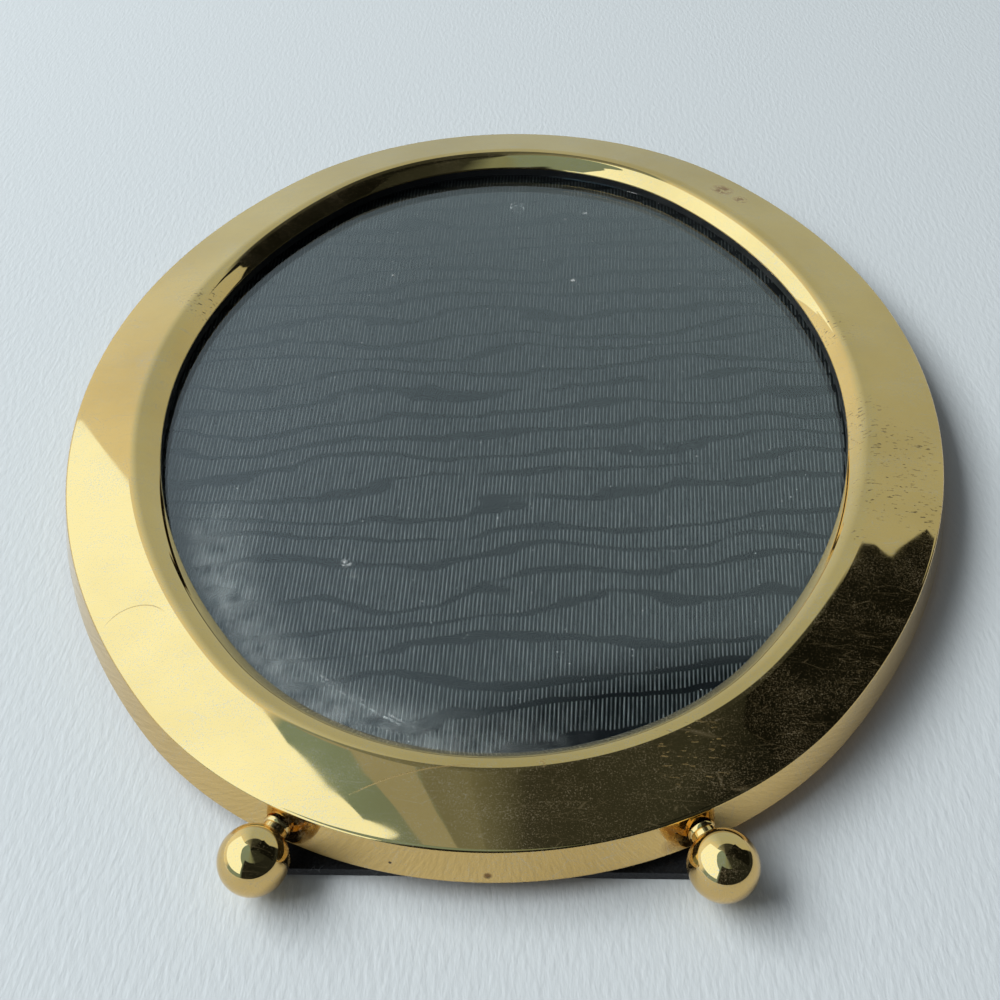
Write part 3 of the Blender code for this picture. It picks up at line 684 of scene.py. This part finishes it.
def makeStandings():
    # The bosses for the turn buttons' screws and the pads for the feet's screws, as one loose mesh
    skin = edgeHeight + rim["crestRise"] * rim["bossInset"] / rim["faceWidth"]
    ceiling = skin - rim["metal"] + rim["bossSink"]
    wide, foot, edge = rim["bossRadius"], rim["bossFoot"], rim["bossRound"]
    bow = rim["bossBow"] * edge
    boss = ((0, foot), (wide - edge, foot), (wide - bow, foot + bow), (wide, foot + edge), (wide, ceiling),
            (0, ceiling))
    low = -(ball["reach"] + ball["padInset"])
    top = -ball["reach"] + rim["metal"] / 2 - rim["wallFlare"]
    wide, edge = ball["padRadius"], ball["padChamfer"]
    pad = ((0, low), (wide - edge, low), (wide, low + edge), (wide, top), (0, top))
    bm = bmesh.new()
    for name, (x, y), _ in bossPlaces():
        bm.from_mesh(turnedMesh("boss_" + name, boss, Matrix.Translation((x, y, 0)), roundSteps))
    for side in (-1, 1):
        bm.from_mesh(turnedMesh("pad", pad, footMatrix(side), roundSteps))
    bmesh.ops.recalc_face_normals(bm, faces=bm.faces)
    mesh = bpy.data.meshes.new("standings")
    bm.to_mesh(mesh)
    bm.free()
    return addObject("standings", mesh)


def insetOf(point):
    # How far inside the face's outer edge a point lies, seen from above
    side = Vector((abs(point.x), abs(point.y)))
    if side.y > endCentre and side.x < (side.y - endCentre) / tan(joinAngle):
        return rim["endRadius"] - (side - Vector((0, endCentre))).length
    return sideRadius - (side + Vector((sideCentre, 0))).length


def finishAt(point):
    # The number of the finish: 0 polished outside, 1 as cast in the hollow back, 2 painted shade, black, on
    # the sight edge
    inset = insetOf(point)
    wall = rim["wallFlare"] * ((point.z - wallFoot) / rim["wallHeight"] - 1)
    if inset < rim["faceWidth"]:
        skin = edgeHeight + rim["crestRise"] * inset / rim["faceWidth"]
    else:
        skin = crestHeight - rim["slopeDrop"] * (inset - rim["faceWidth"]) / rim["slopeWidth"]
    # The sight edge below the lip's top is given the black of painted shade
    if inset > rebateInset and point.z < rim["lipTop"] - rim["sightSkin"]:
        return 2
    polished = inset < wall + rim["wallSkin"] or point.z > skin - rim["faceSkin"] or inset > rebateInset
    return 0 if polished else 1


def buildRim():
    mesh = makeMesh("rim_brass", *sweepOval(withRows(rimSection())))
    piece = addPiece("rim_brass", mesh, (), rim["sharpAngle"])
    combine(piece, makeStandings(), "UNION")
    dress(piece, [finishes[finish] for finish in ("brass", "cast_brass", "painted_shade_black")], rim["sharpAngle"])
    for polygon in piece.data.polygons:
        polygon.material_index = finishAt(polygon.center / mm)
    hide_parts("rim")
    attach(piece, "frame")
    return piece


rimPiece = buildRim()
print("rim swept:", len(rimPiece.data.polygons), "faces")


# Ball feet

def buildFeet():
    # Each ball and its neck are turned from one bar, with a fine ring where the neck meets the wall
    wall = rim["wallFlare"] * (1 - ball["height"] / rim["wallHeight"]) - ball["reach"]
    profile = []
    last = -atan2(sqrt(ball["radius"] ** 2 - ball["neckRadius"] ** 2), ball["neckRadius"])
    for step in range(ball["rounds"] + 1):
        angle = pi / 2 + (last - pi / 2) * step / ball["rounds"]
        profile.append((ball["radius"] * cos(angle) if step else 0, ball["radius"] * sin(angle)))
    ringTop = wall + ball["gap"] + ball["ringWidth"]
    ringFoot = wall + ball["gap"] - ball["tuck"]
    wide, edge = ball["ringRadius"], ball["ringChamfer"]
    profile += [(ball["neckRadius"], ringTop + edge), (wide - edge, ringTop), (wide, ringTop - edge),
                (wide, ringFoot), (0, ringFoot)]
    for side, name in sides:
        mesh = turnedMesh("ball_foot_" + name, profile, footMatrix(side), ball["steps"])
        piece = addPiece("ball_foot_" + name, mesh, (finishes["brass"],), ball["sharpAngle"])
        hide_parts("foot_ball_" + name)
        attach(piece, "frame")


buildFeet()
print("ball feet turned")


# Turn buttons and their screws

button = {
    "halfWidth": 3.4, "tipRadius": 2.4, "length": 10.5, "foot": 1, "thickness": 0.6, "edge": 0.12,
    "steps": 28, "hole": 1.1, "holeSteps": 32, "weld": 0.001, "sharpAngle": 50,
    "screwRadius": 1, "screwTip": 0.4, "headRadius": 2.2, "headTop": 0.9, "headLow": 0.3,
    "screwTop": 5.6, "screwSharpAngle": 35,
    "slotWidth": 0.5, "slotDepth": 0.3, "slotBelow": 1, "slotTurn": 37,
    # The domed head: part of its radius, height above its lowest point
    "dome": ((0, 0), (0.5, 0.02), (0.76, 0.09), (0.92, 0.2), (1, 0.38)),
}


def stampedMesh(name, outlines, place):
    # A flat stamping from closed outlines, with softened edges
    thickness, edge = button["thickness"], button["edge"]
    curve = bpy.data.curves.new(name, "CURVE")
    curve.dimensions = "2D"
    curve.fill_mode = "BOTH"
    curve.extrude = (thickness / 2 - edge) * mm
    curve.bevel_depth = edge * mm
    curve.bevel_resolution = 2
    curve.offset = -edge * mm
    for outline in outlines:
        spline = curve.splines.new("POLY")
        spline.points.add(len(outline) - 1)
        for point, (x, y) in zip(spline.points, outline):
            point.co = (x * mm, y * mm, 0, 1)
        spline.use_cyclic_u = True
    flat = addObject(name + "_outline", curve)
    bpy.context.view_layer.update()
    mesh = evaluatedMesh(flat)
    bpy.data.objects.remove(flat)
    bm = bmesh.new()
    bm.from_mesh(mesh)
    bmesh.ops.remove_doubles(bm, verts=bm.verts, dist=button["weld"] * mm)
    raised = Matrix.Translation((0, 0, (button["foot"] + thickness / 2) * mm))
    moved = place.copy()
    moved.translation *= mm
    bm.transform(moved @ raised)
    bm.to_mesh(mesh)
    bm.free()
    mesh.name = name
    return mesh


def buttonOutline():
    # A drop about the pivot: a wide round end and a narrow tip along X
    lean = (button["halfWidth"] - button["tipRadius"]) / button["length"]
    tangent = pi / 2 - atan2(lean, sqrt(1 - lean ** 2))
    points = []
    for centre, radius, first, sweep in ((button["length"], button["tipRadius"], -tangent, 2 * tangent),
                                         (0, button["halfWidth"], tangent, 2 * pi - 2 * tangent)):
        for step in range(button["steps"] + 1):
            angle = first + sweep * step / button["steps"]
            points.append((centre + radius * cos(angle), radius * sin(angle)))
    return points


def makeSlot(turn):
    # The solid that cuts a screw's slot, across its head and beyond it
    long, half, low = 2 * button["headRadius"], button["slotWidth"] / 2, button["headLow"]
    corners = [turn @ Vector((x * long, y * half, z))
               for z in (low - button["slotBelow"], low + button["slotDepth"])
               for x, y in ((-1, -1), (1, -1), (1, 1), (-1, 1))]
    faces = ((0, 3, 2, 1), (4, 5, 6, 7), (0, 1, 5, 4), (1, 2, 6, 5), (2, 3, 7, 6), (3, 0, 4, 7))
    return addPiece("slot", makeMesh("slot", corners, faces), ())


def buildButtons():
    steps = button["holeSteps"]
    hole = [(button["hole"] * cos(2 * pi * i / steps), button["hole"] * sin(2 * pi * i / steps))
            for i in range(steps)]
    head, low, top = button["headRadius"], button["headLow"], button["headTop"]
    shank, end, tip = button["screwRadius"], button["screwTop"], button["screwTip"]
    profile = [(share * head, low + rise) for share, rise in button["dome"]]
    profile += [(head, top), (shank, top), (shank, end - tip), (shank - tip, end), (0, end)]
    for name, (x, y), inward in bossPlaces():
        place = Matrix.Translation((x, y, 0))
        mesh = stampedMesh("button_" + name, (buttonOutline(), hole), place @ Matrix.Rotation(inward, 4, "Z"))
        piece = addPiece("button_" + name, mesh, (finishes["stamped_brass"],), button["sharpAngle"])
        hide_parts("turn_button_" + name)
        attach(piece, "button_" + name)
        bolt = addPiece("screw_" + name, turnedMesh("screw_" + name, profile, place, roundSteps), (),
                        button["screwSharpAngle"])
        combine(bolt, makeSlot(place @ Matrix.Rotation(radians(len(name) * button["slotTurn"]), 4, "Z")),
                "DIFFERENCE")
        dress(bolt, (finishes["stamped_brass"],), button["screwSharpAngle"])
        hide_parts("turn_screw_" + name)
        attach(bolt, "frame")


buildButtons()
print("turn buttons and screws made")


# Rivets of the hinge

rivet = {
    "radius": 0.9, "headRadius": 1.8, "x": 7.5, "hingeY": 20, "reach": 10.5,
    # Lowest point, underside of the head, tail's underside and top, then the body that it rides
    "board": (0.9, 1.2, 3.15, 3.35, "frame", 1), "strut": (0.05, 0.35, 1.35, 1.55, "strut", -1),
    # The domed head: part of its radius, height above its lowest point
    "dome": ((0, 0), (0.45, 0.02), (0.72, 0.07), (0.9, 0.15)), "edge": 0.03, "steps": 40, "sharpAngle": 40,
}


def buildRivets():
    wide, thin, edge = rivet["headRadius"], rivet["radius"], rivet["edge"]
    for kind in ("board", "strut"):
        low, under, tail, top, body, direction = rivet[kind]
        profile = [(share * wide, low + rise) for share, rise in rivet["dome"]]
        profile += [(wide, under - edge), (wide - edge, under), (thin, under), (thin, tail), (wide, tail),
                    (wide, top), (0, top)]
        for side, name in sides:
            place = Matrix.Translation((side * rivet["x"], rivet["hingeY"] + direction * rivet["reach"], 0))
            title = f"{kind}_rivet_head_{name}"
            mesh = turnedMesh(title, profile, place, rivet["steps"])
            piece = addPiece(title, mesh, (finishes["plated_steel"],), rivet["sharpAngle"])
            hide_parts(f"{kind}_rivet_{name}")
            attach(piece, body)


buildRivets()
print("rivets made")


# Pieces kept from the frame, with their finishes

# The hinge, the screws and the washers are steel, as all that isn't listed
nodeFinish = {"glass": "glass", "moire_lining": "moire", "back_board": "grey_board", "back_velvet": "velvet",
              "strut": "velvet"}
# Edges that are rounded on the real piece, by how much
softened = {"strut": 0.4, "back_velvet": 0.1, "board_leaf": 0.08, "strut_leaf": 0.08, "foot_screw_left": 0.2,
            "foot_screw_right": 0.2}
softening = {"weld": 0.002, "segments": 3, "sharpAngle": 40}
for name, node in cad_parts.items():
    node.data.materials.clear()
    node.data.materials.append(finishes[nodeFinish.get(name, "plated_steel")])
    if name in softened:
        weld = node.modifiers.new("weld", "WELD")
        weld.merge_threshold = softening["weld"] * mm
        edge = node.modifiers.new("edge", "BEVEL")
        edge.width = softened[name] * mm
        edge.segments = softening["segments"]
        edge.limit_method = "ANGLE"
        edge.angle_limit = radians(softening["sharpAngle"])
print("frame nodes finished")


# Table, lamps and the room that the metal reflects

table = {
    "colour": "#CBD3D6", "half": 8, "sink": 0.02,
    "grainTurn": 10, "grainSize": 0.85, "grainLength": 0.3, "grainHeight": 0.12,
}


def buildTable():
    # A pale leathercloth top with a fine pressed grain: soft blurred reflections, no shine
    made, add, shader, place = startMaterial("pale_leathercloth")
    scale = (1 / table["grainSize"], table["grainLength"] / table["grainSize"], 1)
    grain = streaks(add, place, table["grainTurn"], scale, 2)
    bump = add("Bump", {"Strength": 1, "Distance": table["grainHeight"] * mm, "Height": grain})
    setShader(shader, Base_Color=table["colour"], Roughness=0.7, Specular_IOR_Level=0.2, Normal=bump)
    # Seen from below the table isn't there, so that the back can be looked at
    below = add("NewGeometry").outputs["Backfacing"]
    setSurface(made, add("MixShader", (below, shader, add("BsdfTransparent"))))
    half = table["half"] / mm
    mesh = makeMesh("table", ((-half, -half, 0), (half, -half, 0), (half, half, 0), (-half, half, 0)),
                    ((0, 1, 2, 3),))
    top = addObject("table", mesh)
    top.location.z = -table["sink"] * mm
    top.visible_shadow = False
    mesh.materials.append(made)


buildTable()

# One large soft white lamp stands on the left as a window, and a weak one under the table shows the back
lamps = {
    "window_lamp": {"toward": (-86, 46), "away": 2.2, "size": (2.3, 1.1), "watts": 61},
    "under_lamp": {"toward": (160, -60), "away": 1.2, "size": (1.4, 1.4), "watts": 26},
}


def skyPoint(azimuth, elevation, distance):
    # A point of the room: azimuth 0 is +Y and 90 is +X, in degrees
    around, climb = radians(azimuth), radians(elevation)
    return Vector((sin(around) * cos(climb), cos(around) * cos(climb), sin(climb))) * distance


for name, lamp in lamps.items():
    data = bpy.data.lights.new(name, "AREA")
    data.shape = "RECTANGLE"
    data.size, data.size_y = lamp["size"]
    data.energy = lamp["watts"]
    made = addObject(name, data)
    made.location = skyPoint(*lamp["toward"], lamp["away"])
    made.rotation_mode = "QUATERNION"
    made.rotation_quaternion = made.location.to_track_quat("Z", "Y")
    made.visible_glossy = made.visible_camera = False

# Reflector cards, seen only in the metal and the glass, each between two borders of azimuth and elevation
cards = {
    "window_card": {
        "colour": "#D0E8FF", "strength": 2.1,
        "right": ((-66, 12), (-58, 17), (-50, 23), (-36, 29.3), (-38, 40), (-40, 50), (-41.9, 57.1),
                  (-41.5, 61.5), (-39.4, 66.3), (-36.2, 69.8), (-30.5, 72.3)),
        "left": ((-152, 12), (-152, 17), (-152, 23), (-152, 29), (-152, 36), (-150, 42), (-140, 48),
                 (-132, 52), (-124, 55.6), (-116, 58.5), (-105, 62)),
    },
    "dark_card": {
        "colour": "#14181A",
        "right": ((35, 54), (36, 50), (36.9, 46.2), (36.3, 43.8), (36, 42.1), (36.6, 41.7), (37.5, 41.9),
                  (37.9, 41.9), (37.8, 41), (37.9, 39.9), (38, 38.7), (38.6, 39), (44, 39.5), (53, 37),
                  (60, 31), (62, 14), (100, 12)),
        "left": [(azimuth, 60) for azimuth in (38, 39, 40, 40.5, 41, 41.5, 42, 42.5, 43, 43.5, 44, 45, 47, 54,
                                               62, 80, 100)],
    },
    "curtain_card": {
        "colour": "#A5B4BD",
        "right": ((-26, 60), (-25.5, 66), (-24.5, 70.3), (-21.5, 72.7), (-18, 74.6), (-12, 77)),
        "left": ((-37, 60), (-36, 64), (-34, 67.6), (-31.5, 69.8), (-28, 72.5), (-23, 75.5)),
    },
    "fold_card": {
        "colour": "#7E8C92",
        "right": ((-14, 60), (-13.5, 66), (-13, 71), (-10, 75), (-6, 77.5)),
        "left": ((-26, 60), (-25.5, 66), (-23.5, 71.1), (-18, 74.6), (-12, 77)),
    },
}
# In metres; each next card stands one nearer
farthestCard = 20


def between(points, place):
    # A point of a border, by its number and the share towards the next
    here = min(int(place), len(points) - 2)
    share = place - here
    return tuple(a + (b - a) * share for a, b in zip(points[here], points[here + 1]))


def buildCards():
    rows, columns = 6, 20
    for order, (name, card) in enumerate(cards.items()):
        distance = (farthestCard - order) / mm
        vertices, faces = [], []
        count = (len(card["right"]) - 1) * rows
        for row in range(count + 1):
            first = between(card["right"], row / rows)
            last = between(card["left"], row / rows)
            for column in range(columns + 1):
                share = column / columns
                vertices.append(skyPoint(first[0] + (last[0] - first[0]) * share,
                                         first[1] + (last[1] - first[1]) * share, distance))
        for row in range(count):
            for column in range(columns):
                corner = row * (columns + 1) + column
                faces.append((corner, corner + 1, corner + columns + 2, corner + columns + 1))
        made = addObject(name, makeMesh(name, vertices, faces))
        finish = bpy.data.materials.new(name)
        finish.use_nodes = True
        glow = {"Color": card["colour"], "Strength": card.get("strength", 1)}
        setSurface(finish, addNode(finish.node_tree, "Emission", glow))
        made.data.materials.append(finish)
        made.visible_camera = made.visible_diffuse = made.visible_shadow = False
        made.visible_volume_scatter = made.visible_transmission = False


buildCards()

# World: pale behind everything, brighter on the window's side as light, and a plain room in reflections,
# with its walls below and its ceiling above, each by azimuth in degrees
room = {
    "background": "#CAD4D5",
    "light": ((-1, "#FFFFFF", 0.68), (-0.3, "#F4F8FF", 0.38), (0.15, "#F0F4FA", 0.08),
              (1, "#E8E4DC", 0.02)),
    "walls": ((-180, "#262B30"), (-158, "#262B30"), (-152, "#8AAABC"), (-112, "#8AACC4"), (-100, "#F4FFFF"),
              (-50, "#F4FFFF", 1.1), (-34, "#F4FFFF"), (-22, "#D8EDF9"), (-6, "#BCCFD6"), (16, "#BDD0D4"),
              (60, "#C3CFCA"), (63, "#2C3338"), (180, "#20262A")),
    "ceiling": ((-180, "#8AA1A4"), (-172, "#8AAABC"), (-112, "#8AACC4"), (-40, "#8AAFC4"),
                (-30, "#8AA9BC", 0.9), (-14, "#7E8C92"), (-5, "#626E73"), (3, "#3C444A"), (34, "#363E42"),
                (40, "#181D20"), (70, "#181D20"), (110, "#30383C"), (150, "#353E42"), (170, "#8AA1A4")),
    # The ceiling's lean towards +X, and the two heights between which the walls end
    "boundary": (0.2, 0.775, 0.8),
    # What is seen below the horizon, and the two heights between which it begins
    "beneath": "#A3ABAD", "horizon": (-0.02, -0.12),
}


def makeRamp(add, share, stops, first, last):
    # Colours along a stretch from first to last, as (place, colour) or (place, colour, strength)
    ramp = add("ValToRGB", (share,))
    elements = ramp.color_ramp.elements
    while len(elements) < len(stops):
        elements.new(0.5)
    for element, (place, *colour) in zip(elements, stops):
        element.position = (place - first) / (last - first)
        element.color = fromHex(*colour)
    return ramp


def buildWorld():
    world = bpy.data.worlds.new("soft_room")
    bpy.context.scene.world = world
    world.use_nodes = True
    world.node_tree.nodes.clear()
    add = partial(addNode, world.node_tree)
    axes = add("SeparateXYZ", (add("TexCoord").outputs["Generated"],))
    turn = add("Math", (axes.outputs[0], axes.outputs[1]), "ARCTAN2")
    around = add("MapRange", (turn, -pi, pi))
    walls = makeRamp(add, around, room["walls"], -180, 180)
    ceiling = makeRamp(add, around, room["ceiling"], -180, 180)
    lean, low, high = room["boundary"]
    climb = add("Math", (axes.outputs[0], lean, axes.outputs[2]), "MULTIPLY_ADD")
    above = add("MapRange", (climb, low, high))
    seen = add("Mix", {0: above, 6: walls, 7: ceiling})
    down = add("MapRange", (axes.outputs[2], *room["horizon"]))
    whole = add("Mix", {0: down, 6: seen, 7: room["beneath"]})
    across = add("MapRange", (axes.outputs[0], -1, 1))
    lit = makeRamp(add, across, room["light"], -1, 1)
    rays = add("LightPath").outputs
    soft = add("Mix", {0: rays["Is Diffuse Ray"], 6: whole, 7: lit})
    final = add("Mix", {0: rays["Is Camera Ray"], 6: soft, 7: room["background"]})
    add("OutputWorld", {"Surface": add("Background", {"Color": final})})


buildWorld()
print("table, lamps and room made")
